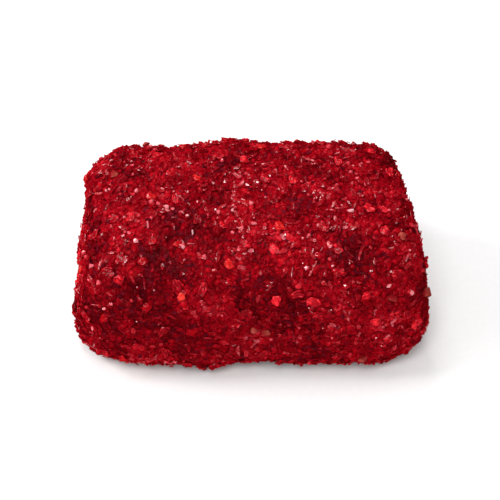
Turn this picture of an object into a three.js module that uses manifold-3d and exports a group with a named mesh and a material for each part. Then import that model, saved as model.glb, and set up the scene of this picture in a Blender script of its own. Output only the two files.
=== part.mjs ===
// One roll of Turkish delight: a soft loaf of gel that has settled on its foot, rolled in a coat of fine red
// petal crumbs. Broad petal flakes, orange chips, pale slivers and nut crumbs stand out of the coat.
// Millimetres. X runs along the roll, Y from front to back and Z upwards. The origin lies under the middle of
// the roll, on the flat foot that it rests on.

import * as THREE from 'three';
import { ImprovedNoise } from 'three/addons/math/ImprovedNoise.js';
import { mergeVertices } from 'three/addons/utils/BufferGeometryUtils.js';
import Module from 'manifold-3d';

// Driving dimensions of the loaf, its length and depth at the waist
const waistLength = 76.8;
const waistDepth = 48;
const rollHeight = 39.2;
const footPressed = 1.3; // how much of the round underside the roll's weight has pressed flat
const endRoundness = 5.5; // powers of the rounded form: 2 is an ellipse, and higher is closer to a box
const sectionRoundness = 3.4;
const crownTaper = 0.035; // the share by which the crown is narrower, and the foot wider, than the waist
const backTaper = 0.055; // the same from the front to the back, for the length alone
const crownLean = 1.2; // how far the crown leans to the right
const backSkew = 1.4; // how far the back is shifted to the left
const heartX = -0.7; // the heart lies this far from the middle of the whole roll

const halfLength = waistLength / 2;
const halfDepth = waistDepth / 2;
const halfHeight = (rollHeight + footPressed) / 2;
const heartHeight = halfHeight - footPressed;

// Swellings and hollows left by handling: where, how wide and how high
const swellings = [
  { at: [-35, 9, 36], reach: 10, rise: 1.3 },
  { at: [-39, -8, 27], reach: 9, rise: -1.1 },
  { at: [36, -14, 8], reach: 12, rise: 0.9 },
  { at: [14, -20, 33], reach: 15, rise: 0.6 },
  { at: [-8, 16, 38], reach: 16, rise: -0.6 },
];

// Slow waves along the hand-rolled loaf: wave length on each axis, height and starting point
const waves = [
  { lengths: [34, 47, 39], rise: 0.24, start: 0.4 },
  { lengths: [19, 26, 23], rise: 0.14, start: 2.1 },
];

// The coat's clumps of crumbs, as relief on the loaf
const clumpSize = 5.2;
const clumpRelief = 0.75;
const gridStep = 3.4; // the spacing of the loaf's mesh

// The bits that stand out of the coat, placed by one even rule that deals the kinds out in turn
const bitCount = 212; // what the whole outside would hold, the foot too, which stays bare of them
const clearOfFoot = 3.4;
const bitKinds = {
  petalFlake: { shape: curledFlake, size: [4.0, 2.9, 1.0], tilt: 10, proud: -0.05 },
  orangeChip: { shape: angularChip, size: [3.4, 2.6, 1.7], tilt: 12, proud: 0.05 },
  paleSliver: { shape: bentSliver, size: [4.8, 0.9, 1.1], tilt: 6, proud: -0.1 },
  nutCrumb: { shape: angularChip, size: [3.0, 2.6, 2.2], tilt: 0, proud: 0.12 },
};
const dealtInTurn = [
  'petalFlake', 'petalFlake', 'orangeChip', 'petalFlake', 'paleSliver', 'petalFlake', 'orangeChip',
  'petalFlake', 'petalFlake', 'paleSliver', 'petalFlake', 'orangeChip', 'petalFlake', 'petalFlake',
  'paleSliver', 'nutCrumb',
];
const smallestBit = 0.7; // the smallest bits of a kind are this share of its size

// The bits that the photograph shows at known places, with the direction of each from the heart
const seenBits = [
  { kind: 'petalFlake', toward: [3.9, -23.5, 9] },
  { kind: 'petalFlake', toward: [12.3, -23.6, 8.6] },
  { kind: 'petalFlake', toward: [25.5, -23.5, 2] },
  { kind: 'petalFlake', toward: [34.3, -20.8, -1.8] },
  { kind: 'orangeChip', toward: [-16.1, -23.2, 10.2] },
  { kind: 'orangeChip', toward: [5, -12, 19.6] },
  { kind: 'paleSliver', toward: [-19.6, -5.7, 20.1] },
  { kind: 'nutCrumb', toward: [0.2, -24, -0.5] },
];

const coatColour = 0x8e0f1a;
const coatRoughness = 0.62;

// The steps of the even spread, from the plastic number, and of the turns and sizes, from the golden ratio
const plasticNumber = 1.32471795724474602596;
const firstStep = 1 / plasticNumber;
const secondStep = firstStep * firstStep;
const goldenStep = (Math.sqrt(5) - 1) / 2;
const spreadStart = 0.5;
const fullTurn = Math.PI * 2;

const noise = new ImprovedNoise();
const spread = (index, step) => (spreadStart + index * step) % 1;
const spreadAcross = (width, index, step) => (spread(index, step) - 1 / 2) * width;
const signedPower = (value, power) => Math.sign(value) * Math.abs(value) ** power;

// How far the smooth rounded form reaches from the heart along a direction
function reachAlong(direction) {
  const section = Math.abs(direction.y / halfDepth) ** sectionRoundness
    + Math.abs(direction.z / halfHeight) ** sectionRoundness;
  const length = Math.abs(direction.x / halfLength) ** endRoundness;
  return (section ** (endRoundness / sectionRoundness) + length) ** (-1 / endRoundness);
}

// The outward direction of the smooth rounded form at a point on it
function outwardAt(point) {
  const section = Math.abs(point.y / halfDepth) ** sectionRoundness
    + Math.abs(point.z / halfHeight) ** sectionRoundness;
  const share = section ** (endRoundness / sectionRoundness - 1);
  return new THREE.Vector3(
    signedPower(point.x / halfLength, endRoundness - 1) / halfLength,
    (share * signedPower(point.y / halfDepth, sectionRoundness - 1)) / halfDepth,
    (share * signedPower(point.z / halfHeight, sectionRoundness - 1)) / halfHeight,
  ).normalize();
}

// How far handling, slow waves and clumps of crumbs raise the surface at a point
function unevenness(point) {
  let rise = 0;
  for (const swelling of swellings) {
    const away = point.distanceTo(new THREE.Vector3(...swelling.at)) / swelling.reach;
    rise += swelling.rise * Math.exp(-away * away);
  }
  for (const wave of waves) {
    const phase = point.x / wave.lengths[0] + point.y / wave.lengths[1] + point.z / wave.lengths[2];
    const cross = point.x / wave.lengths[2] - point.y / wave.lengths[0];
    rise += wave.rise * (Math.sin(fullTurn * phase + wave.start) + Math.sin(fullTurn * cross - wave.start));
  }
  return rise + clumpRelief * noise.noise(point.x / clumpSize, point.y / clumpSize, point.z / clumpSize);
}

// The loaf's surface in a direction from its heart: rounded, settled and leaning, then made uneven
function surfaceAlong(direction) {
  const smooth = direction.clone().multiplyScalar(reachAlong(direction));
  const outward = outwardAt(smooth);
  const level = smooth.z / halfHeight;
  const back = smooth.y / halfDepth;
  const settled = new THREE.Vector3(
    smooth.x * (1 - crownTaper * level - backTaper * back) + crownLean * level - backSkew * back + heartX,
    smooth.y * (1 - crownTaper * level),
    smooth.z + heartHeight,
  );
  return { point: settled.addScaledVector(outward, unevenness(settled)), outward };
}

// The loaf: a finely divided box pushed out to the surface, crumbly all over and flat at its foot
function loafGeometry() {
  const box = new THREE.BoxGeometry(
    waistLength, waistDepth, rollHeight,
    Math.round(waistLength / gridStep), Math.round(waistDepth / gridStep), Math.round(rollHeight / gridStep),
  );
  const corners = box.attributes.position;
  const direction = new THREE.Vector3();
  for (let index = 0; index < corners.count; index += 1) {
    direction.fromBufferAttribute(corners, index);
    const { point } = surfaceAlong(direction);
    corners.setXYZ(index, point.x, point.y, Math.max(point.z, 0));
  }
  return box;
}

// A broad petal flake: a thin plate that narrows to its tips and curls up lengthways
function curledFlake() {
  const lengthSteps = 2;
  const narrowing = 1.3;
  const curl = 1.7;
  const plate = new THREE.BoxGeometry(1, 1, 1, lengthSteps, 1, 1);
  bendCorners(plate, (x, y, z) => [x, y * (1 - narrowing * x * x), z + curl * x * x]);
  return plate;
}

// A thin sliver: a slim strip that tapers and bends both sideways and upwards
function bentSliver() {
  const lengthSteps = 3;
  const narrowing = 1.6;
  const sideBend = 2.4;
  const lift = 0.9;
  const strip = new THREE.BoxGeometry(1, 1, 1, lengthSteps, 1, 1);
  bendCorners(strip, (x, y, z) => [x, y * (1 - narrowing * x * x) + sideBend * x * x, z + lift * x * x]);
  return strip;
}

// An angular chip or crumb: a faceted ball with each corner knocked in or out by its own share
function angularChip(turn) {
  const knock = 0.34;
  const knockAlong = new THREE.Vector3(7, 11, 13);
  const chip = new THREE.IcosahedronGeometry(1 / 2, 0);
  bendCorners(chip, (x, y, z) => {
    const phase = fullTurn * turn + knockAlong.dot(new THREE.Vector3(x, y, z));
    const share = 1 + knock * Math.sin(phase);
    return [x * share, y * share, z * share];
  });
  return chip;
}

function bendCorners(geometry, bend) {
  const corners = geometry.attributes.position;
  for (let index = 0; index < corners.count; index += 1) {
    corners.setXYZ(index, ...bend(corners.getX(index), corners.getY(index), corners.getZ(index)));
  }
}

// Spots on the box round the loaf, spread evenly by area over its two ends and over the walk round its sides
function boxSpots() {
  const girth = 2 * (waistDepth + rollHeight);
  const endArea = waistDepth * rollHeight;
  const perArea = bitCount / (2 * endArea + girth * waistLength);
  const spots = [];
  for (let index = 0; index < endArea * perArea; index += 1) {
    const across = spreadAcross(waistDepth, index, firstStep);
    const up = spreadAcross(rollHeight, index, secondStep);
    spots.push(new THREE.Vector3(-halfLength, across, up), new THREE.Vector3(halfLength, -across, up));
  }
  for (let index = 0; index < girth * waistLength * perArea; index += 1) {
    const along = spreadAcross(waistLength, index, firstStep);
    spots.push(sideSpot(along, spread(index, secondStep) * girth));
  }
  return spots;
}

// The walk goes up the front, back over the crown, down the back and forward under the foot
function sideSpot(along, walk) {
  const overCrown = walk - rollHeight;
  const downBack = overCrown - waistDepth;
  const underFoot = downBack - rollHeight;
  if (overCrown < 0) {
    return new THREE.Vector3(along, -halfDepth, walk - rollHeight / 2);
  }
  if (downBack < 0) {
    return new THREE.Vector3(along, overCrown - halfDepth, rollHeight / 2);
  }
  if (underFoot < 0) {
    return new THREE.Vector3(along, halfDepth, rollHeight / 2 - downBack);
  }
  return new THREE.Vector3(along, halfDepth - underFoot, -rollHeight / 2);
}

// One bit, turned, tilted and half sunk at a place on the surface
function placedBit(kind, index, { point, outward }) {
  const turn = spread(index, goldenStep);
  const scale = 1 - (1 - smallestBit) * spread(index, secondStep);
  const [long, wide, thick] = kind.size.map((side) => side * scale);
  const bit = kind.shape(turn);
  bit.scale(long, wide, thick);
  bit.rotateY(THREE.MathUtils.degToRad(kind.tilt) * Math.cos(fullTurn * turn));
  bit.rotateZ(fullTurn * turn);
  bit.applyQuaternion(new THREE.Quaternion().setFromUnitVectors(new THREE.Vector3(0, 0, 1), outward));
  const centre = point.clone().addScaledVector(outward, kind.proud * thick);
  return bit.translate(centre.x, centre.y, centre.z);
}

// Every bit of the coat that is big enough to stand out
function coatBits() {
  const kindDealt = (index) => dealtInTurn[index % dealtInTurn.length];
  const spots = boxSpots().map((toward, index) => ({ kind: kindDealt(index), toward }));
  const seen = seenBits.map(({ kind, toward }) => ({ kind, toward: new THREE.Vector3(...toward) }));
  const bits = [];
  [...spots, ...seen].forEach(({ kind, toward }, index) => {
    const place = surfaceAlong(toward);
    if (place.point.z >= clearOfFoot) {
      bits.push(placedBit(bitKinds[kind], index, place));
    }
  });
  return bits;
}

function closedSolid(wasm, geometry) {
  const bare = geometry.clone();
  bare.deleteAttribute('normal');
  bare.deleteAttribute('uv');
  const merged = mergeVertices(bare);
  return new wasm.Manifold(new wasm.Mesh({
    numProp: 3,
    vertProperties: merged.attributes.position.array,
    triVerts: merged.index.array,
  }));
}

function geometryOf(solid) {
  const mesh = solid.getMesh();
  const geometry = new THREE.BufferGeometry();
  geometry.setAttribute('position', new THREE.BufferAttribute(mesh.vertProperties, mesh.numProp));
  geometry.setIndex(new THREE.BufferAttribute(mesh.triVerts, 1));
  geometry.computeVertexNormals();
  return geometry;
}

async function buildRoll() {
  const wasm = await Module();
  wasm.setup();
  let roll = closedSolid(wasm, loafGeometry());
  for (const bit of coatBits()) {
    roll = roll.add(closedSolid(wasm, bit));
  }
  const material = new THREE.MeshStandardMaterial({ color: coatColour, roughness: coatRoughness });
  const mesh = new THREE.Mesh(geometryOf(roll), material);
  mesh.name = 'coated_roll';
  return mesh;
}

const turkishDelight = new THREE.Group();
turkishDelight.add(await buildRoll());

export default turkishDelight;
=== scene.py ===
import math

import bmesh
import bpy
import numpy as np
from mathutils import Matrix, Vector, noise


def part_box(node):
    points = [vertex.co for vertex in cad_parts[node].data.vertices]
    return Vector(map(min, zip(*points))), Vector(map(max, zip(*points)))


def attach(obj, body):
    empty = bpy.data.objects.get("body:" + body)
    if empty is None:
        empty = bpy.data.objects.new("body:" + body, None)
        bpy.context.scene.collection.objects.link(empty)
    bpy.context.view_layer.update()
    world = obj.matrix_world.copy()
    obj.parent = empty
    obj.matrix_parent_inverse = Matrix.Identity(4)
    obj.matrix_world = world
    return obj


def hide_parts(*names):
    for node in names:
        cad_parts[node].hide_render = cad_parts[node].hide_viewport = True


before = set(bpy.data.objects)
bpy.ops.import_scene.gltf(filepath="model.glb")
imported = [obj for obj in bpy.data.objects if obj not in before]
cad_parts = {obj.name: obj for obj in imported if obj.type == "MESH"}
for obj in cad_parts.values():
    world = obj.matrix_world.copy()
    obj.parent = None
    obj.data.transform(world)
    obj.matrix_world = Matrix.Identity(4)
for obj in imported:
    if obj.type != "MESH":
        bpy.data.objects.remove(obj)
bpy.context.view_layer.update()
print("frame loaded")

mm = 0.001
fullTurn = 2 * math.pi

# The loaf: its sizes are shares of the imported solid's box, which also holds the bits that stand out of it
lowCorner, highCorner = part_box("coated_roll")
boxSize = highCorner - lowCorner
loaf = {
    "waistLength": 0.928 * boxSize.x,
    "waistDepth": 0.939 * boxSize.y,
    "height": 0.9534 * boxSize.z,
    "footPressed": 1.3 * mm,      # pressed flat under the roll's weight
    "footSoftness": 0.6 * mm,     # heights below this are pressed together
    "endRoundness": 5.5,          # 2 is an ellipse, higher is closer to a box
    "sectionRoundness": 3.4,
    "crownTaper": 0.035,          # how much slimmer the crown is than the waist, as a share
    "backTaper": 0.055,
    "crownLean": 1.2 * mm,        # to the right
    "backSkew": 1.4 * mm,         # to the left
    "heartX": -0.7 * mm,
}
halfLength = loaf["waistLength"] / 2
halfDepth = loaf["waistDepth"] / 2
halfHeight = (loaf["height"] + loaf["footPressed"]) / 2
heartHeight = halfHeight - loaf["footPressed"]

# Swellings and hollows left by handling: where, how wide and how high, in millimetres
swellings = [
    ((-35, 9, 36), 10, 1.3),
    ((-39, -8, 27), 9, -1.1),
    ((36, -14, 8), 12, 0.9),
    ((14, -20, 33), 15, 0.6),
    ((-8, 16, 38), 16, -0.6),
]
# Slow waves along the hand-rolled loaf: wave lengths and height in millimetres, and start
waves = [
    ((34, 47, 39), 0.24, 0.4),
    ((19, 26, 23), 0.14, 2.1),
]

# Patches of the coat that the photo shows: where and how wide, in millimetres
patches = {
    "crimson": [((-31, -7, 37), 10), ((6, -12, 38), 9), ((-36, -15, 31), 7), ((30, -20, 17), 9)],
    "purple": [((-24, -23, 26), 8.5), ((-20, -19, 34), 7), ((-33, -21, 21), 6), ((24, -18, 35), 6),
               ((1, -23, 27), 6), ((8, -24, 20), 5), ((10, -5, 39), 5)],
}
# Fainter patches all over the loaf, from slow noise
patchNoise = {
    "size": 13 * mm,
    "places": {"crimson": 3.1, "purple": 7.7},    # where in the noise each colour is read
    "contrast": 3.2,
    "threshold": 0.55,
    "edge": 4,                                    # higher gives the patches above a sharper edge
}

# Crumbs of one shade lie together in clusters: the width of each in millimetres, and its share of the shade
clusterSizes = [(9, 0.35), (4.5, 0.75), (2.4, 0.6)]


# How far some points lie from a place, as a share of its reach
def awayFrom(points, place, reach):
    return np.linalg.norm(points - np.array(place) * mm, axis=1) / (reach * mm)


def signedPower(values, power):
    return np.sign(values) * np.abs(values) ** power


def unevenness(points):
    rise = np.zeros(len(points))
    for place, reach, height in swellings:
        away = awayFrom(points, place, reach)
        rise += height * mm * np.exp(-away * away)
    for lengths, height, start in waves:
        turns = (points / (np.array(lengths) * mm)).sum(1)
        cross = points[:, 0] / (lengths[2] * mm) - points[:, 1] / (lengths[0] * mm)
        rise += height * mm * (np.sin(fullTurn * turns + start) + np.sin(fullTurn * cross - start))
    return rise


# The plain rounded loaf round its heart: points, their shares of its half sizes, and directions outward
def roundedLoaf(directions):
    half = np.array([halfLength, halfDepth, halfHeight])
    power, endPower = loaf["sectionRoundness"], loaf["endRoundness"]
    shares = np.abs(directions / half)
    section = shares[:, 1] ** power + shares[:, 2] ** power
    reach = (section ** (endPower / power) + shares[:, 0] ** endPower) ** (-1 / endPower)
    points = directions * reach[:, None]
    shares = points / half
    section = np.abs(shares[:, 1]) ** power + np.abs(shares[:, 2]) ** power
    outward = signedPower(shares, power - 1) * section[:, None] ** (endPower / power - 1)
    outward[:, 0] = signedPower(shares[:, 0], endPower - 1)
    outward /= half
    outward /= np.linalg.norm(outward, axis=1)[:, None]
    return points, shares, outward


# Where the loaf's surface lies in some directions from its heart: rounded, settled, leaning, uneven
def surfaceAlong(directions):
    settled, shares, outward = roundedLoaf(directions)
    level, back = shares[:, 2], shares[:, 1]
    settled[:, 0] *= 1 - loaf["crownTaper"] * level - loaf["backTaper"] * back
    settled[:, 0] += loaf["heartX"] + loaf["crownLean"] * level - loaf["backSkew"] * back
    settled[:, 1] *= 1 - loaf["crownTaper"] * level
    settled[:, 2] += heartHeight
    return settled + outward * unevenness(settled)[:, None], outward


# Low heights are pressed together over the floor, so that the crumbs under the foot lie flat and in order
def pressed(heights):
    soft = loaf["footSoftness"]
    return np.where(heights < soft, soft * np.exp(np.minimum(heights, soft) / soft - 1), heights)


# How strongly the patches of one colour show at some points, from 0 to 1
def patchStrength(points, colour):
    strength = np.zeros(len(points))
    for place, reach in patches[colour]:
        strength = np.maximum(strength, np.exp(-awayFrom(points, place, reach) ** patchNoise["edge"]))
    start = Vector((patchNoise["places"][colour], 0, 0))
    slow = np.array([noise.noise(Vector(point) / patchNoise["size"] + start) for point in points])
    return np.maximum(strength, np.clip(slow * patchNoise["contrast"] - patchNoise["threshold"], 0, 1))


def clusterShade(points):
    shade = np.empty(len(points))
    for index, point in enumerate(points):
        place = Vector(point)
        shade[index] = sum(share * noise.noise(place / (size * mm)) for size, share in clusterSizes)
    return shade


# Reading and writing whole meshes
def cornersOf(mesh):
    flat = np.empty(len(mesh.vertices) * 3)
    mesh.vertices.foreach_get("co", flat)
    return flat.reshape(-1, 3)


def setCorners(mesh, points):
    mesh.vertices.foreach_set("co", np.ascontiguousarray(points, dtype=np.float32).ravel())
    mesh.update()


def setTints(mesh, tints):
    mesh.attributes.new("tint", "FLOAT", "POINT").data.foreach_set("value", tints)


def trianglesOf(mesh):
    mesh.calc_loop_triangles()
    flat = np.empty(len(mesh.loop_triangles) * 3, dtype=np.int32)
    mesh.loop_triangles.foreach_get("vertices", flat)
    return flat.reshape(-1, 3)


def newPiece(name, mesh, material):
    piece = bpy.data.objects.new(name, mesh)
    bpy.context.scene.collection.objects.link(piece)
    mesh.materials.append(material)
    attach(piece, "root")
    return piece


# Node helpers
def newMaterial(name):
    material = bpy.data.materials.new(name)
    material.use_nodes = True
    nodes, links = material.node_tree.nodes, material.node_tree.links
    return material, nodes, links, nodes["Principled BSDF"]


def noiseNode(nodes, links, scale, detail, where):
    node = nodes.new("ShaderNodeTexNoise")
    node.inputs["Scale"].default_value = scale
    node.inputs["Detail"].default_value = detail
    links.new(where, node.inputs["Vector"])
    return node.outputs["Fac"]


def rampNode(nodes, links, stops, fac):
    node = nodes.new("ShaderNodeValToRGB")
    ramp = node.color_ramp
    while len(ramp.elements) < len(stops):
        ramp.elements.new(0.5)
    for element, (place, colour) in zip(ramp.elements, stops):
        element.position = place
        element.color = (*colour, 1)
    links.new(fac, node.inputs["Fac"])
    return node.outputs["Color"]


def mathNode(nodes, links, operation, first, second):
    node = nodes.new("ShaderNodeMath")
    node.operation = operation
    for socket, value in zip(node.inputs, (first, second)):
        if isinstance(value, (int, float)):
            socket.default_value = value
        else:
            links.new(value, socket)
    return node.outputs["Value"]


def bumpNode(nodes, links, height, strength, distance):
    node = nodes.new("ShaderNodeBump")
    node.inputs["Strength"].default_value = strength
    node.inputs["Distance"].default_value = distance
    links.new(height, node.inputs["Height"])
    return node.outputs["Normal"]


# What all the finishes of the coat have in common
coatFinish = {
    "mottleDetail": 3,
    "mottleMiddle": 0.5,          # the noise's mean, which leaves the tint as it is
    "grainDetail": 2,
    "grainHeight": 0.1 * mm,
    "soaksIn": (1.0, 0.12, 0.1),  # red light goes deepest
}


# A finish of the coat: a tint for each bit, finer mottling within it, and a fine grain
def coatMaterial(name, looks):
    material, nodes, links, shader = newMaterial(name)
    where = nodes.new("ShaderNodeTexCoord").outputs["Object"]
    tint = nodes.new("ShaderNodeAttribute")
    tint.attribute_name = "tint"
    mottle = noiseNode(nodes, links, looks["mottleScale"], coatFinish["mottleDetail"], where)
    centred = mathNode(nodes, links, "SUBTRACT", mottle, coatFinish["mottleMiddle"])
    spread = mathNode(nodes, links, "MULTIPLY", centred, looks["mottle"])
    place = mathNode(nodes, links, "ADD", tint.outputs["Fac"], spread)
    links.new(rampNode(nodes, links, looks["stops"], place), shader.inputs["Base Color"])
    grain = noiseNode(nodes, links, looks["grainScale"], coatFinish["grainDetail"], where)
    bump = bumpNode(nodes, links, grain, looks["bump"], coatFinish["grainHeight"])
    links.new(bump, shader.inputs["Normal"])
    low, high = looks["roughness"]
    rough = mathNode(nodes, links, "ADD", mathNode(nodes, links, "MULTIPLY", grain, high - low), low)
    links.new(rough, shader.inputs["Roughness"])
    shader.inputs["Specular IOR Level"].default_value = looks["specular"]
    shader.inputs["Subsurface Weight"].default_value = looks["subsurface"]
    shader.inputs["Subsurface Radius"].default_value = coatFinish["soaksIn"]
    shader.inputs["Subsurface Scale"].default_value = looks["deep"] * mm
    return material


# The coat's shades, from the darkest tint to the palest
redStops = [(0.0, (0.07, 0.0005, 0.0022)), (0.3, (0.145, 0.0007, 0.0034)), (0.6, (0.25, 0.001, 0.005)),
            (0.85, (0.38, 0.003, 0.009)), (1.0, (0.58, 0.018, 0.03))]
purpleStops = [(0.0, (0.028, 0.0005, 0.0018)), (0.5, (0.07, 0.0012, 0.0046)), (1.0, (0.15, 0.0045, 0.013))]
creasedStops = [(0.0, (0.12, 0.0006, 0.003)), (0.5, (0.3, 0.0015, 0.007)), (0.8, (0.58, 0.007, 0.017)),
                (1.0, (0.85, 0.022, 0.036))]
peelStops = [(0.0, (0.32, 0.002, 0.006)), (0.5, (0.5, 0.01, 0.012)), (1.0, (0.8, 0.045, 0.034))]
stalkStops = [(0.0, (0.22, 0.0015, 0.006)), (0.5, (0.36, 0.012, 0.021)), (1.0, (0.68, 0.13, 0.14))]
nutStops = [(0.0, (0.13, 0.001, 0.004)), (0.4, (0.24, 0.006, 0.009)), (0.6, (0.29, 0.032, 0.025)),
            (1.0, (0.42, 0.1, 0.065))]
# The film's palest shades are partly a painted highlight
filmAndGlintStops = [(0.0, (0.2, 0.0008, 0.004)), (0.5, (0.29, 0.0016, 0.006)), (0.8, (0.46, 0.012, 0.02)),
             (1.0, (0.69, 0.09, 0.115))]
# The sugar's palest shades stand in for glints: sugar colour and painted highlight
sugarAndGlintStops = [(0.0, (0.3, 0.003, 0.009)), (0.5, (0.48, 0.018, 0.03)), (0.8, (0.71, 0.1, 0.13)),
              (1.0, (0.92, 0.31, 0.34))]
syrupStops = [(0.0, (0.2, 0.0008, 0.004)), (0.6, (0.34, 0.002, 0.008)), (1.0, (0.55, 0.03, 0.04))]

# The bed of the coat: crumbs packed over the loaf, under all the others
coatBed = {
    "meshStep": 0.46 * mm,
    "depth": 0.35 * mm,           # under the loaf's surface, to leave room for the crumbs on it
    "clumpSize": 5.2 * mm,
    "clumpRelief": 0.7 * mm,
    "crumbSize": 1.25 * mm,
    "crumbRelief": 0.45 * mm,
    "crumbWall": 2.4,             # how steeply a crumb rises from the gap round it
    "crumbDome": 0.6,             # how far its surface falls away from its middle
    "tint": 0.36,                 # 0 is the darkest shade and 1 the palest
    "tintRange": 0.5,             # from crumb to crumb
    "tintStep": 1.7,              # how far apart in the noise two crumbs are
    # how much paler a crumb's top and darker the gaps between crumbs are painted: painted shade
    "paintedGapShade": 0.2,
    "crimson": 0.16,              # how much paler it is in the crimson patches
    "purple": 0.26,               # and how much darker in the purple ones
    "clusters": 0.42,
    "slot": "petal_coat",
}
bedLooks = {"stops": redStops, "mottleScale": 1300, "mottle": 0.3, "grainScale": 3200, "bump": 0.2,
            "roughness": (0.2, 0.36), "specular": 0.02, "subsurface": 0.4, "deep": 0.6}


# The relief and the tint of packed crumbs at some points of the loaf; the tint is paler on each crumb's top
# and darker in the gaps between crumbs, a painted shade
def packedCrumbs(points, values):
    relief = np.empty(len(points))
    tints = np.empty(len(points))
    for index, point in enumerate(points):
        clump = noise.noise(Vector(point) / values["clumpSize"])
        distances, cells = noise.voronoi(Vector(point) / values["crumbSize"])
        wall = min(1.0, values["crumbWall"] * (distances[1] - distances[0]))
        crumb = wall - values["crumbDome"] * distances[0]
        own = noise.noise(cells[0] * values["tintStep"])
        relief[index] = values["clumpRelief"] * clump + values["crumbRelief"] * crumb
        tints[index] = values["tint"] + values["tintRange"] * own + values["paintedGapShade"] * crumb
    return relief, tints


# A divided cube pushed out to the loaf, with packed crumbs as relief
def buildBed(values):
    bm = bmesh.new()
    bmesh.ops.create_cube(bm, size=1)
    sizes = (loaf["waistLength"], loaf["waistDepth"], loaf["height"])
    bmesh.ops.scale(bm, vec=sizes, verts=bm.verts)
    for axis in range(3):
        along = [e for e in bm.edges if abs((e.verts[0].co - e.verts[1].co)[axis]) > values["meshStep"]]
        cuts = round(sizes[axis] / values["meshStep"])
        bmesh.ops.subdivide_edges(bm, edges=along, cuts=cuts, use_grid_fill=True)
    mesh = bpy.data.meshes.new("coatBed")
    bm.to_mesh(mesh)
    bm.free()
    smooth, outward = surfaceAlong(cornersOf(mesh))
    relief, tints = packedCrumbs(smooth, values)
    bed = smooth + outward * (relief - values["depth"])[:, None]
    bed[:, 2] = pressed(bed[:, 2])
    setCorners(mesh, bed)
    mesh.shade_smooth()
    return mesh, bed, outward, tints


bedMesh, bed, outward, bedTints = buildBed(coatBed)
triangles = trianglesOf(bedMesh)
crimson = patchStrength(bed, "crimson")
purple = patchStrength(bed, "purple")
clusters = clusterShade(bed)
bedTints += coatBed["crimson"] * crimson - coatBed["purple"] * purple + coatBed["clusters"] * clusters
setTints(bedMesh, np.clip(bedTints, 0, 1))
bedPiece = newPiece("coatBed", bedMesh, coatMaterial("packedCrumbs", bedLooks))
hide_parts("coated_roll")
print("coat bed", len(triangles), "triangles")


# Seeds: one small closed mesh each, about a unit long, to be copied. Its rim is high where it is palest
def seedOf(bm, rimOf):
    bmesh.ops.recalc_face_normals(bm, faces=bm.faces)
    ordered = sorted(bm.verts, key=lambda v: v.co[:])      # because solidify leaves another order each run
    for index, v in enumerate(ordered):
        v.index = index
    points = np.array([v.co[:] for v in ordered])
    faces = sorted([v.index for v in f.verts] for f in bm.faces)
    rim = np.array([rimOf(v.co) for v in ordered])
    bm.free()
    return points, faces, rim


def dividedCube(cuts):
    bm = bmesh.new()
    bmesh.ops.create_cube(bm, size=1)
    bmesh.ops.subdivide_edges(bm, edges=bm.edges, cuts=cuts, use_grid_fill=True)
    return bm


# A petal flake: a square grid drawn into a disc, torn unevenly at its edge, curled and ruffled
plateForm = {
    "cornersIn": 1.6,
    "tearScale": 3.1,
    "tearStep": 5.1,              # how far apart in the noise two seeds are
    "ruffle": 0.3,
    "ruffleScale": 2.2,
    "ruffleStep": 2.3,
    "ruffleStart": 9,
    "paleEdge": 4,                # higher keeps the pale rim closer to the edge
}


def plateSeed(steps, curl, cup, torn, thickness, seed):
    bm = bmesh.new()
    bmesh.ops.create_grid(bm, x_segments=steps[0], y_segments=steps[1], size=0.5)
    for v in bm.verts:
        x, y = v.co.x, v.co.y
        v.co.x = x * math.sqrt(1 - plateForm["cornersIn"] * y * y)
        v.co.y = y * math.sqrt(1 - plateForm["cornersIn"] * x * x)
        tear = Vector((x * plateForm["tearScale"], y * plateForm["tearScale"], seed * plateForm["tearStep"]))
        v.co *= 1 + torn * noise.noise(tear)
        fold = Vector((x * plateForm["ruffleScale"], y * plateForm["ruffleScale"],
                       seed * plateForm["ruffleStep"] + plateForm["ruffleStart"]))
        v.co.z = curl * x * x + cup * y * y + plateForm["ruffle"] * noise.noise(fold)
    bmesh.ops.solidify(bm, geom=bm.faces[:], thickness=thickness)
    return seedOf(bm, lambda co: min(1.0, (2 * co.xy.length) ** plateForm["paleEdge"]))


# A grain: a ball knocked out of shape
grainForm = {"knockScale": 2.6, "knockStep": 4.7, "paleScale": 3.1}


def grainSeed(divisions, flat, knock, seed):
    bm = bmesh.new()
    bmesh.ops.create_icosphere(bm, subdivisions=divisions, radius=0.5)
    bmesh.ops.scale(bm, vec=(1, 1, flat), verts=bm.verts)
    start = Vector((0, 0, seed * grainForm["knockStep"]))
    for v in bm.verts:
        v.co *= 1 + knock * noise.noise(v.co * grainForm["knockScale"] + start)
    return seedOf(bm, lambda co: max(0.0, noise.noise(co * grainForm["paleScale"] + Vector((seed, 0, 0)))))


# A plump crumb or chip: a divided cube drawn part of the way into a ball, then knocked out of shape
lumpForm = {"knockStep": 4.7, "paleTop": 1.6}


def lumpSeed(cuts, roundness, knock, knockScale, seed):
    bm = dividedCube(cuts)
    start = Vector((0, seed * lumpForm["knockStep"], 0))
    for v in bm.verts:
        v.co = 0.5 * v.co.lerp(v.co.normalized(), roundness)
        v.co *= 1 + knock * noise.noise(v.co * knockScale + start)
    return seedOf(bm, lambda co: max(0.0, lumpForm["paleTop"] * co.z))


# A broad dried petal: a divided cube drawn flat and round, curled up lengthways and creased along its veins
petalForm = {
    "roundness": 0.7,
    "outline": 0.6,               # how unevenly it is torn
    "outlineScale": 2.6,
    "outlineStep": 4.7,
    "crease": 2.5,
    "creaseScale": (2.4, 6),      # along the veins and across them
    "creaseStep": 3.7,
    "creaseMiddle": 0.5,
}


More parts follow.
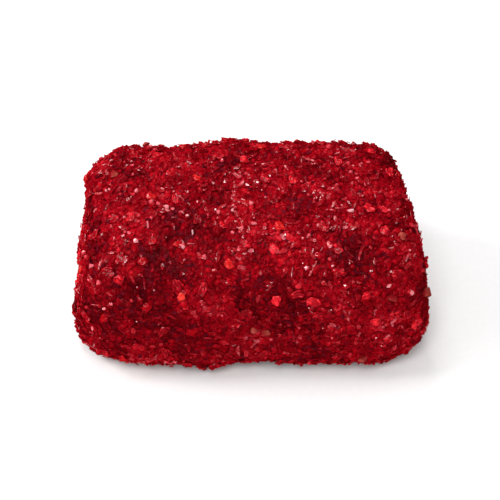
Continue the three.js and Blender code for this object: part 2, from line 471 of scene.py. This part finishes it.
def petalSeed(cuts, curl, creaseDepth, seed):
    alongVeins, acrossVeins = petalForm["creaseScale"]

    def crease(co):
        place = Vector((co.x * alongVeins, co.y * acrossVeins, seed * petalForm["creaseStep"]))
        return abs(noise.noise(place)) * petalForm["crease"]

    bm = dividedCube(cuts)
    for v in bm.verts:
        v.co = 0.5 * v.co.lerp(v.co.normalized(), petalForm["roundness"])
        tear = Vector((v.co.x * petalForm["outlineScale"], v.co.y * petalForm["outlineScale"],
                       seed * petalForm["outlineStep"]))
        outline = petalForm["outline"] * noise.noise(tear)
        v.co.x *= 1 + outline
        v.co.y *= 1 + outline
        v.co.z += curl * v.co.x ** 2 + creaseDepth * crease(v.co)
    return seedOf(bm, lambda co: crease(co) - petalForm["creaseMiddle"])


# A piece of chopped nut: a few flat broken faces with their edges worn round
nutForm = {"wearSegments": 2, "paleScale": 2.6}


def nutSeed(cornerCount, closest, wear, seed):
    bm = bmesh.new()
    for toward in np.random.default_rng(seed).normal(size=(cornerCount, 3)):
        bm.verts.new(0.5 * Vector(toward).normalized())
    bmesh.ops.remove_doubles(bm, verts=bm.verts, dist=closest)
    bmesh.ops.convex_hull(bm, input=bm.verts)
    bmesh.ops.bevel(bm, geom=bm.edges[:], offset=wear, segments=nutForm["wearSegments"], profile=0.5,
                    affect="EDGES", material=-1, clamp_overlap=True)
    return seedOf(bm, lambda co: noise.noise(co * nutForm["paleScale"] + Vector((seed, 0, 0))))


# A slim torn strip, wider in places, that tapers to its tips and bends both sideways and upwards
sliverForm = {
    "stepsAcross": 2,
    "tear": 0.9,
    "tearScale": 7,
    "tearSides": 2,               # how differently its two edges are torn
    "tearStep": 3.3,
    "hook": 0.4,                  # how much more one end bends than the other
    "crown": 0.9,
    "paleTips": 2,
}


def sliverSeed(steps, narrowing, sideBend, lift, thickness, seed):
    bm = bmesh.new()
    bmesh.ops.create_grid(bm, x_segments=steps, y_segments=sliverForm["stepsAcross"], size=0.5)
    for v in bm.verts:
        x, y = v.co.x, v.co.y
        side = math.copysign(sliverForm["tearSides"], y)
        tear = Vector((x * sliverForm["tearScale"], side, seed * sliverForm["tearStep"]))
        torn = 1 + sliverForm["tear"] * noise.noise(tear)
        v.co.y = y * torn * (1 - narrowing * x * x) + sideBend * (x * x + sliverForm["hook"] * x ** 3)
        v.co.z = lift * x * x - sliverForm["crown"] * y * y
    bmesh.ops.solidify(bm, geom=bm.faces[:], thickness=thickness)
    return seedOf(bm, lambda co: min(1.0, abs(2 * co.x) ** sliverForm["paleTips"]))


# Random spots on the bed, even by area or denser where the weight says so, and their directions outward
def spotsOnBed(count, weight, draw):
    first, second, third = (bed[triangles[:, k]] for k in range(3))
    area = np.linalg.norm(np.cross(second - first, third - first), axis=1) * weight
    ends = np.cumsum(area)
    picked = np.searchsorted(ends, draw.random(count) * ends[-1])
    u, v = draw.random((2, count))
    fold = u + v > 1
    u[fold], v[fold] = 1 - u[fold], 1 - v[fold]
    shares = np.stack([1 - u - v, u, v], axis=1)[:, :, None]
    chosen = triangles[picked]
    return (bed[chosen] * shares).sum(1), (outward[chosen] * shares).sum(1), picked


# The bed's vertex that lies nearest to each place
def nearestOnBed(places):
    return [np.linalg.norm(bed - place, axis=1).argmin() for place in places]


# A turn for each copy: its own z points outward, leaned by tilt, and spun about it
def standing(outward, spin, tilt):
    up = outward / np.linalg.norm(outward, axis=1)[:, None]
    mostlyAlongX = np.abs(up[:, :1]) >= 0.8      # too close to X to be crossed with it
    helper = np.where(mostlyAlongX, [[0.0, 1.0, 0.0]], [[1.0, 0.0, 0.0]])
    side = np.cross(helper, up)
    side /= np.linalg.norm(side, axis=1)[:, None]
    ahead = np.cross(up, side)
    c, s = np.cos(spin)[:, None], np.sin(spin)[:, None]
    x, y = side * c + ahead * s, ahead * c - side * s
    ct, st = np.cos(tilt)[:, None], np.sin(tilt)[:, None]
    return np.stack([x * ct + up * st, y, up * ct - x * st], axis=2)


# Joins copies of some seeds into one mesh, with a tint for each copy that its material reads
def joinCopies(name, values, seeds, material, places, turns, sizes, tints):
    allPoints, allFaces, allTints, start = [], [], [], 0
    for kind, (points, faces, rim) in enumerate(seeds):
        mine = np.arange(kind, len(places), len(seeds))
        shaped = points[None] * sizes[mine][:, None]
        moved = np.einsum("nij,nkj->nki", turns[mine], shaped) + places[mine][:, None]
        allPoints.append(moved.reshape(-1, 3))
        allTints.append((tints[mine][:, None] + values["rimTint"] * rim[None]).ravel())
        for _ in mine:
            allFaces.extend([start + i for i in face] for face in faces)
            start += len(points)
    joined = np.concatenate(allPoints)
    joined[:, 2] = pressed(joined[:, 2])
    mesh = bpy.data.meshes.new(name)
    mesh.from_pydata(joined, [], allFaces)
    setTints(mesh, np.concatenate(allTints))
    if values["smooth"]:
        mesh.shade_smooth()
    print(name, len(places), "pieces,", sum(len(f) - 2 for f in allFaces), "triangles")
    return newPiece(name, mesh, material)


# For all the scattered copies: where they lie thickest, and how much paler or darker they are there
layers = {
    "middleTint": 0.5,
    "leastSide": 0.6,             # each side of a grain is at least this share of its length
    "redsInPurple": 0.55,         # how much thinner the reds lie in a purple patch
    "crimsonShift": 0.16,         # how much paler they are in a crimson patch
    "purpleShift": 0.24,          # and how much darker in a purple one
    "clusterShift": 0.42,
    "darkAnywhere": 0.3,          # how thickly the purple petals lie
    "darkInPurple": 0.7,          # how much thicker in a purple patch
    "darkInCrimson": 0.2,         # and how much thinner in a crimson one
}
crimsonThere, purpleThere, clustersThere = (shade[triangles[:, 0]] for shade in (crimson, purple, clusters))
redWeight = 1 - layers["redsInPurple"] * purpleThere
redShift = (layers["crimsonShift"] * crimsonThere - layers["purpleShift"] * purpleThere
            + layers["clusterShift"] * clustersThere)
darkWeight = (layers["darkAnywhere"] + layers["darkInPurple"] * purpleThere
              - layers["darkInCrimson"] * crimsonThere)
noShift = np.zeros(len(triangles))


def tintsOf(values, shift, draw):
    return np.clip(draw.normal(layers["middleTint"], values["spread"], values["count"]) + shift, 0, 1)


def scatterPlates(name, values, seeds, material, weight, shift, draw):
    count = values["count"]
    places, up, picked = spotsOnBed(count, weight, draw)
    tilt = draw.normal(0, values["tilt"], count)
    turns = standing(up, draw.uniform(0, fullTurn, count), tilt)
    tints = tintsOf(values, shift[picked], draw)
    long = draw.uniform(*values["long"], count) * mm
    wide = draw.uniform(*values["wide"], count) * mm
    sizes = np.stack([long, wide, values["thick"] * wide], axis=1)
    places = places + up * values["proud"] * mm
    return joinCopies(name, values, seeds, material, places, turns, sizes, tints)


# The first grains lie at the seen places, on the bed, and have the tints seen there
def scatterGrains(name, values, seeds, material, weight, shift, draw, seen=()):
    count = values["count"]
    places, up, picked = spotsOnBed(count, weight, draw)
    tints = tintsOf(values, shift[picked], draw)
    long = draw.uniform(*values["long"], count)[:, None] * mm
    if seen:
        nearest = nearestOnBed(np.array([place for place, _ in seen]) * mm)
        places[:len(seen)], up[:len(seen)] = bed[nearest], outward[nearest]
        tints[:len(seen)] = [tint for _, tint in seen]
        long[:len(seen)] = values["seenLong"] * mm
    tilt = draw.normal(0, values["tilt"], count)
    turns = standing(up, draw.uniform(0, fullTurn, count), tilt)
    sizes = long * draw.uniform(layers["leastSide"], 1.0, (count, 3))
    places = places + up * values["proud"] * mm
    return joinCopies(name, values, seeds, material, places, turns, sizes, tints)


draw = np.random.default_rng(20)
curls = [0.3 * k - 0.4 for k in range(6)]        # from bent down at the ends to bent up
shredSeeds = [plateSeed(steps=(3, 1), curl=curl, cup=0.25, torn=0.5, thickness=0.1, seed=k)
              for k, curl in enumerate(curls)]
flakeSeeds = [plateSeed(steps=(4, 3), curl=curl, cup=0.3, torn=0.6, thickness=0.07, seed=9 + k)
              for k, curl in enumerate(curls)]
crumbSeeds = [grainSeed(divisions=1, flat=1, knock=0.7, seed=seed) for seed in range(6)]
beadSeeds = [grainSeed(divisions=2, flat=0.3, knock=0.5, seed=seed) for seed in range(40, 46)]
lumpSeeds = [lumpSeed(cuts=1, roundness=1, knock=0.8, knockScale=3.4, seed=seed) for seed in range(6)]

# Shreds of dried petals
petalShreds = {
    "count": 5600,
    "long": (0.9, 2.2),           # millimetres
    "wide": (0.35, 0.85),
    "thick": 0.9,                 # scales the seed's thickness and curl, as a share of its width
    "tilt": 0.08,                 # radians
    "proud": 0.06,                # millimetres above the bed
    "rimTint": 0.15,              # how much paler it is at its edge
    "spread": 0.1,                # how much the tint differs from copy to copy
    "smooth": False,
    "slot": "petal_coat",
}
petalLooks = {"stops": redStops, "mottleScale": 900, "mottle": 0.4, "grainScale": 3200, "bump": 0.2,
              "roughness": (0.18, 0.34), "specular": 0.02, "subsurface": 0.4, "deep": 0.6}
petalMaterial = coatMaterial("driedPetal", petalLooks)
scatterPlates("petalShreds", petalShreds, shredSeeds, petalMaterial, redWeight, redShift, draw)

# Small flakes of petal
redFlakes = {
    "count": 1300,
    "long": (1.4, 2.6),
    "wide": (0.9, 1.7),
    "thick": 0.8,
    "tilt": 0.1,
    "proud": 0.08,
    "rimTint": 0.1,
    "spread": 0.1,
    "smooth": False,
    "slot": "petal_coat",
}
scatterPlates("redFlakes", redFlakes, flakeSeeds, petalMaterial, redWeight, redShift, draw)

# Fine crumbs, and plump ones half sunk between them
coatCrumbs = {
    "count": 9600,
    "long": (0.5, 1.25),
    "tilt": fullTurn,             # any way up
    "proud": 0.02,
    "rimTint": 0.1,
    "spread": 0.1,
    "smooth": True,
    "slot": "petal_coat",
}
plumpCrumbs = {
    "count": 4100,
    "long": (1.2, 2.4),
    "tilt": fullTurn,
    "proud": -0.2,
    "rimTint": 0.1,
    "spread": 0.11,
    "smooth": True,
    "slot": "petal_coat",
}
crumbLooks = {"stops": redStops, "mottleScale": 1200, "mottle": 0.3, "grainScale": 3000, "bump": 0.12,
              "roughness": (0.1, 0.18), "specular": 0.05, "subsurface": 0.45, "deep": 0.7}
crumbMaterial = coatMaterial("petalCrumb", crumbLooks)
scatterGrains("coatCrumbs", coatCrumbs, crumbSeeds, crumbMaterial, redWeight, redShift, draw)
scatterGrains("plumpCrumbs", plumpCrumbs, lumpSeeds, crumbMaterial, redWeight, redShift, draw)

# Purple petals, thickest in their own patches
darkPetals = {
    "count": 1400,
    "long": (1.0, 2.2),
    "wide": (0.5, 1.1),
    "thick": 0.9,
    "tilt": 0.08,
    "proud": 0.08,
    "rimTint": 0.15,
    "spread": 0.1,
    "smooth": False,
    "slot": "dark_petal",
}
purpleLooks = {"stops": purpleStops, "mottleScale": 900, "mottle": 0.4, "grainScale": 3200, "bump": 0.2,
               "roughness": (0.25, 0.45), "specular": 0.02, "subsurface": 0.2, "deep": 0.5}
purpleMaterial = coatMaterial("darkPetal", purpleLooks)
scatterPlates("darkPetals", darkPetals, shredSeeds, purpleMaterial, darkWeight, noShift, draw)

# Thin pale stalks
fineStalks = {
    "count": 80,
    "long": (1.4, 3.4),
    "wide": (0.2, 0.38),
    "thick": 1.0,
    "tilt": 0.06,
    "proud": 0.3,
    "rimTint": 0.1,
    "spread": 0.15,
    "smooth": False,
    "slot": "pale_sliver",
}
stalkLooks = {"stops": stalkStops, "mottleScale": 900, "mottle": 2.2, "grainScale": 3000, "bump": 0.2,
              "roughness": (0.12, 0.26), "specular": 0.5, "subsurface": 0.6, "deep": 1.0}
stalkMaterial = coatMaterial("paleStalk", stalkLooks)
scatterPlates("fineStalks", fineStalks, shredSeeds, stalkMaterial, redWeight, noShift, draw)

# Sticky grains, and drops of syrup that stand proud
syrupGrains = {
    "count": 500,
    "long": (0.8, 1.6),
    "tilt": fullTurn,
    "proud": 0.05,
    "rimTint": 0.1,
    "spread": 0.15,
    "smooth": False,
    "slot": "sugar_glaze",
}
syrupBeads = {
    "count": 400,
    "long": (0.7, 1.7),
    "tilt": 0.3,
    "proud": 0.42,
    "rimTint": 0.1,
    "spread": 0.15,
    "smooth": True,
    "slot": "sugar_glaze",
}
syrupLooks = {"stops": syrupStops, "mottleScale": 1500, "mottle": 0.2, "grainScale": 3000, "bump": 0.01,
              "roughness": (0.08, 0.18), "specular": 1.0, "subsurface": 0.5, "deep": 1.0}
syrupMaterial = coatMaterial("syrupGrain", syrupLooks)
scatterGrains("syrupGrains", syrupGrains, crumbSeeds, syrupMaterial, redWeight, redShift, draw)
scatterGrains("syrupBeads", syrupBeads, beadSeeds, syrupMaterial, redWeight, redShift, draw)

# Sugar that catches the light; its pale pink tints are partly a painted highlight
sugarAndGlintCrumbs = {
    "count": 360,
    "long": (0.6, 1.5),
    "seenLong": 1.3,
    "tilt": fullTurn,
    "proud": 0.3,
    "rimTint": 0.2,
    "spread": 0.22,
    "smooth": False,
    "slot": "sugar_glaze",
}
# Those at known places of glints, in millimetres, and the tint of each, a painted highlight
seenPaintedGlints = [
    ((22.3, -6.3, 38.9), 1.0), ((23.2, -6.6, 38.8), 1.0), ((-22.4, -3.1, 38.9), 0.8),
    ((-20.7, -3.8, 39), 0.75), ((-19, -4.6, 39), 0.8), ((-17.3, -5.6, 39), 0.85),
    ((-15.6, -6.6, 39), 0.85), ((-14, -7.5, 39), 0.9), ((0.8, -10.1, 38.8), 0.9),
    ((0.1, -4, 39.2), 0.85), ((17.8, -16.3, 37.1), 0.9), ((18.5, -19.5, 34.9), 0.85),
    ((30.4, -21.3, 30.9), 0.95), ((-27.1, -11.3, 37.8), 0.7), ((-15.3, -15, 37.6), 0.75),
    ((-10.6, -18, 36.2), 0.8), ((-2, -11.5, 38.6), 0.75), ((7.4, -1, 39), 0.8),
    ((-36.1, -15.2, 31.4), 0.75), ((-34, -18.8, 29.9), 0.7), ((-38.4, -8, 27.5), 0.6),
    ((-37.6, -12, 31), 0.6), ((12.8, -13.6, 38), 0.7),
]
sugarAndGlintLooks = {"stops": sugarAndGlintStops, "mottleScale": 1000, "mottle": 0.7, "grainScale": 2600, "bump": 0.1,
              "roughness": (0.08, 0.2), "specular": 0.6, "subsurface": 0.5, "deep": 0.8}
sugarAndGlintMaterial = coatMaterial("sugarAndGlintCrumb", sugarAndGlintLooks)
scatterGrains("sugarAndGlintCrumbs", sugarAndGlintCrumbs, crumbSeeds, sugarAndGlintMaterial, redWeight, redShift, draw, seenPaintedGlints)

# Petals with a film of syrup, lifted from the bed; their palest tints are partly a painted highlight
wetPetals = {
    "count": 1700,
    "long": (0.8, 2.1),
    "wide": (0.45, 1.0),
    "thick": 0.8,
    "tilt": 0.24,
    "proud": 0.46,
    "rimTint": 0.1,
    "spread": 0.14,
    "smooth": False,
    "slot": "sugar_glaze",
}
filmLooks = {"stops": filmAndGlintStops, "mottleScale": 1200, "mottle": 0.4, "grainScale": 2200, "bump": 0.03,
             "roughness": (0.12, 0.24), "specular": 0.6, "subsurface": 0.5, "deep": 0.8}
filmMaterial = coatMaterial("syrupFilm", filmLooks)
scatterPlates("wetPetals", wetPetals, flakeSeeds, filmMaterial, redWeight, redShift, draw)

# The bits that stand out of the coat, dealt out evenly as in the solid
bitRule = {
    "count": 212,                 # on the whole box round the loaf, before those near the foot are left out
    "clearOfFoot": 3.4 * mm,
    "smallest": 0.7,              # of the size below
    "darkerInPurple": 0.35,
    "dealtInTurn": ["broadFlakes", "broadFlakes", "orangeChips", "broadFlakes", "paleSlivers", "broadFlakes",
                    "orangeChips", "broadFlakes", "broadFlakes", "paleSlivers", "broadFlakes", "orangeChips",
                    "broadFlakes", "broadFlakes", "paleSlivers", "nutCrumbs"],
}
bits = {
    "broadFlakes": {
        "size": (4.0, 2.9, 1.0),  # millimetres
        "tilt": 10,               # degrees
        "proud": -0.15,           # above the bed, as a share of the thickness
        "tints": (0.35, 0.75),
        "rimTint": 0.35,
        "smooth": True,
        "slot": "petal_coat",
    },
    "orangeChips": {
        "size": (3.4, 2.6, 1.7),
        "tilt": 12,
        "proud": 0.0,
        "tints": (0.0, 0.55),
        "rimTint": 0.1,
        "smooth": True,
        "slot": "orange_chip",
    },
    "paleSlivers": {
        "size": (4.8, 0.9, 1.1),
        "tilt": 6,
        "proud": 0.08,
        "tints": (0.1, 0.6),
        "rimTint": 0.1,
        "smooth": True,
        "slot": "pale_sliver",
    },
    "nutCrumbs": {
        "size": (3.0, 2.6, 2.2),
        "tilt": 0,
        "proud": 0.08,
        "tints": (0.4, 0.75),
        "rimTint": 0.25,
        "smooth": False,
        "slot": "nut_crumb",
    },
}
# Those seen at known places: their kinds, their directions from the heart in millimetres, and their tints
seenBits = [
    ("broadFlakes", (3.9, -23.5, 9), 0.9),
    ("broadFlakes", (12.3, -23.6, 8.6), 0.72),
    ("broadFlakes", (25.5, -23.5, 2), 0.85),
    ("broadFlakes", (34.3, -20.8, -1.8), 0.85),
    ("orangeChips", (-16.1, -23.2, 10.2), 0.9),
    ("orangeChips", (5, -12, 19.6), 0.45),
    ("paleSlivers", (-19.6, -5.7, 20.1), 0.8),
    ("nutCrumbs", (0.2, -24, -0.5), 0.6),
]

# Steps that spread any number of points evenly over a square, and any number of turns round a circle
plasticNumber = 1.32471795724474602596
firstStep = 1 / plasticNumber
secondStep = firstStep ** 2
goldenStep = (math.sqrt(5) - 1) / 2


def spread(indices, step):
    return (0.5 + indices * step) % 1


# Spots on the box round the loaf: over its two ends, then along a walk up its front, over, down and under it
def boxSpots():
    length, depth, height = loaf["waistLength"], loaf["waistDepth"], loaf["height"]
    endArea, sideArea = depth * height, 2 * (depth + height) * length
    perArea = bitRule["count"] / (2 * endArea + sideArea)
    index = np.arange(math.ceil(endArea * perArea))
    across = (spread(index, firstStep) - 0.5) * depth
    up = (spread(index, secondStep) - 0.5) * height
    far = np.full(len(index), halfLength)
    ends = np.stack([-far, across, up, far, -across, up], axis=1).reshape(-1, 3)
    index = np.arange(math.ceil(sideArea * perArea))
    walk = spread(index, secondStep)
    turnsAt = np.cumsum([0, height, depth, height, depth]) / (2 * (depth + height))
    sideY = np.interp(walk, turnsAt, np.array([-1, -1, 1, 1, -1]) * halfDepth)
    sideZ = np.interp(walk, turnsAt, np.array([-1, 1, 1, -1, -1]) * height / 2)
    sides = np.stack([(spread(index, firstStep) - 0.5) * length, sideY, sideZ], axis=1)
    return np.concatenate([ends, sides])


# The place, turn, size and tint of every bit, by kind
def dealBits(draw):
    spots = boxSpots()
    kinds = [bitRule["dealtInTurn"][index % len(bitRule["dealtInTurn"])] for index in range(len(spots))]
    kinds += [kind for kind, _, _ in seenBits]
    toward = np.concatenate([spots, np.array([direction for _, direction, _ in seenBits]) * mm])
    points, away = surfaceAlong(toward)
    lying = bed[nearestOnBed(points)] + away * coatBed["depth"]
    darker = bitRule["darkerInPurple"] * patchStrength(points, "purple")
    dealt = {kind: [] for kind in bits}
    for index, kind in enumerate(kinds):
        values = bits[kind]
        if points[index][2] < bitRule["clearOfFoot"]:
            continue
        spin = fullTurn * spread(index, goldenStep)
        size = np.array(values["size"]) * mm * (1 - (1 - bitRule["smallest"]) * spread(index, secondStep))
        turn = Vector((0, 0, 1)).rotation_difference(Vector(away[index])).to_matrix()
        turn = turn @ Matrix.Rotation(spin, 3, "Z")
        turn = turn @ Matrix.Rotation(math.radians(values["tilt"]) * math.cos(spin), 3, "Y")
        tint = draw.uniform(*values["tints"]) - darker[index]
        if index >= len(spots):
            tint = seenBits[index - len(spots)][2]
        place = lying[index] + away[index] * values["proud"] * size[2]
        dealt[kind].append((place, np.array(turn), size, tint))
    return dealt


def placeBits(name, seeds, material, dealt):
    places, turns, sizes, tints = (np.array(column) for column in zip(*dealt[name]))
    return joinCopies(name, bits[name], seeds, material, places, turns, sizes, tints)


dealt = dealBits(np.random.default_rng(5))

creasedLooks = {"stops": creasedStops, "mottleScale": 700, "mottle": 0.6, "grainScale": 2400, "bump": 0.35,
                "roughness": (0.14, 0.3), "specular": 0.3, "subsurface": 0.5, "deep": 0.9}
broadSeeds = [petalSeed(cuts=8, curl=1.2, creaseDepth=0.45, seed=seed) for seed in range(20, 26)]
placeBits("broadFlakes", broadSeeds, coatMaterial("creasedPetal", creasedLooks), dealt)

peelLooks = {"stops": peelStops, "mottleScale": 800, "mottle": 0.8, "grainScale": 2600, "bump": 0.2,
             "roughness": (0.1, 0.22), "specular": 0.4, "subsurface": 0.8, "deep": 1.6}
chipSeeds = [lumpSeed(cuts=5, roundness=0.4, knock=0.8, knockScale=3.0, seed=seed) for seed in range(30, 36)]
placeBits("orangeChips", chipSeeds, coatMaterial("orangePeel", peelLooks), dealt)

sideBends = [2.2, 0.9, -1.4, -0.5]
sliverSeeds = [sliverSeed(steps=14, narrowing=2.6, sideBend=bend, lift=0.5, thickness=0.3, seed=60 + k)
               for k, bend in enumerate(sideBends)]
placeBits("paleSlivers", sliverSeeds, coatMaterial("paleSliver", stalkLooks), dealt)

nutLooks = {"stops": nutStops, "mottleScale": 520, "mottle": 1.3, "grainScale": 2400, "bump": 0.3,
            "roughness": (0.3, 0.5), "specular": 0.08, "subsurface": 0.15, "deep": 0.5}
nutSeeds = [nutSeed(cornerCount=16, closest=0.25, wear=0.035, seed=seed) for seed in range(50, 54)]
placeBits("nutCrumbs", nutSeeds, coatMaterial("choppedNut", nutLooks), dealt)

# The studio, in metres
studio = {
    "lens": 205,              # millimetres on a 36 mm sensor
    "distance": 0.66,
    "azimuth": -1.1,          # degrees, 0 looks along +Y
    "elevation": 47.7,
    "clipStart": 0.01,
    "worldColour": (1, 1, 1, 1),
    "worldStrength": 0.55,
}
paper = {
    "reach": 1.5,             # from its middle to its edge
    "drop": 0.05 * mm,        # under the foot, so that the two don't flicker
    "tone": 0.86,
    "toneRange": 0.02,
    "fibreScale": 700,
    "fibreDetail": 4,
    "fibreStops": (0.3, 0.7),
    "roughness": 0.8,
}
lights = {
    "key": {"place": (-0.62, -0.05, 0.62), "size": 0.34, "power": 4.0},
    "back": {"place": (-0.12, 0.52, 0.78), "size": 0.34, "power": 2.7},
    "front": {"place": (-0.05, -0.5, 0.8), "size": 0.38, "power": 4.4},
    "left": {"place": (-0.75, -0.4, 0.3), "size": 0.34, "power": 1.1},
}


def placeCamera(values):
    camera = bpy.data.objects.new("camera", bpy.data.cameras.new("camera"))
    bpy.context.scene.collection.objects.link(camera)
    camera.data.lens = values["lens"]
    camera.data.clip_start = values["clipStart"]
    azimuth, elevation = math.radians(values["azimuth"]), math.radians(values["elevation"])
    away = Vector((math.sin(azimuth) * math.cos(elevation), -math.cos(azimuth) * math.cos(elevation),
                   math.sin(elevation)))
    heart = Vector((0, 0, heartHeight))
    camera.location = heart + values["distance"] * away
    camera.rotation_euler = (-away).to_track_quat("-Z", "Y").to_euler()
    bpy.context.scene.camera = camera


def areaLight(name, values):
    light = bpy.data.objects.new(name, bpy.data.lights.new(name, "AREA"))
    bpy.context.scene.collection.objects.link(light)
    light.data.shape = "DISK"
    light.data.size = values["size"]
    light.data.energy = values["power"]
    light.location = values["place"]
    light.rotation_euler = (-Vector(values["place"])).to_track_quat("-Z", "Y").to_euler()


def paperMaterial(values):
    material, nodes, links, shader = newMaterial("palePaper")
    where = nodes.new("ShaderNodeTexCoord").outputs["Object"]
    fibre = noiseNode(nodes, links, values["fibreScale"], values["fibreDetail"], where)
    tones = (values["tone"], values["tone"] + values["toneRange"])
    stops = [(place, (tone, tone, tone)) for place, tone in zip(values["fibreStops"], tones)]
    links.new(rampNode(nodes, links, stops, fibre), shader.inputs["Base Color"])
    shader.inputs["Roughness"].default_value = values["roughness"]
    return material


def buildFloor(values):
    bm = bmesh.new()
    bmesh.ops.create_grid(bm, x_segments=1, y_segments=1, size=values["reach"])
    bmesh.ops.translate(bm, vec=(0, 0, -values["drop"]), verts=bm.verts)
    mesh = bpy.data.meshes.new("floor")
    bm.to_mesh(mesh)
    bm.free()
    mesh.materials.append(paperMaterial(values))
    floor = bpy.data.objects.new("floor", mesh)
    bpy.context.scene.collection.objects.link(floor)
    floor.visible_glossy = False


def paintWorld(values):
    world = bpy.data.worlds.new("studio")
    bpy.context.scene.world = world
    world.use_nodes = True
    background = world.node_tree.nodes["Background"]
    background.inputs["Color"].default_value = values["worldColour"]
    background.inputs["Strength"].default_value = values["worldStrength"]
    world.cycles_visibility.glossy = False


placeCamera(studio)
buildFloor(paper)
for name, values in lights.items():
    areaLight(name, values)
paintWorld(studio)
bpy.context.scene.view_settings.view_transform = "Standard"
print("studio ready")
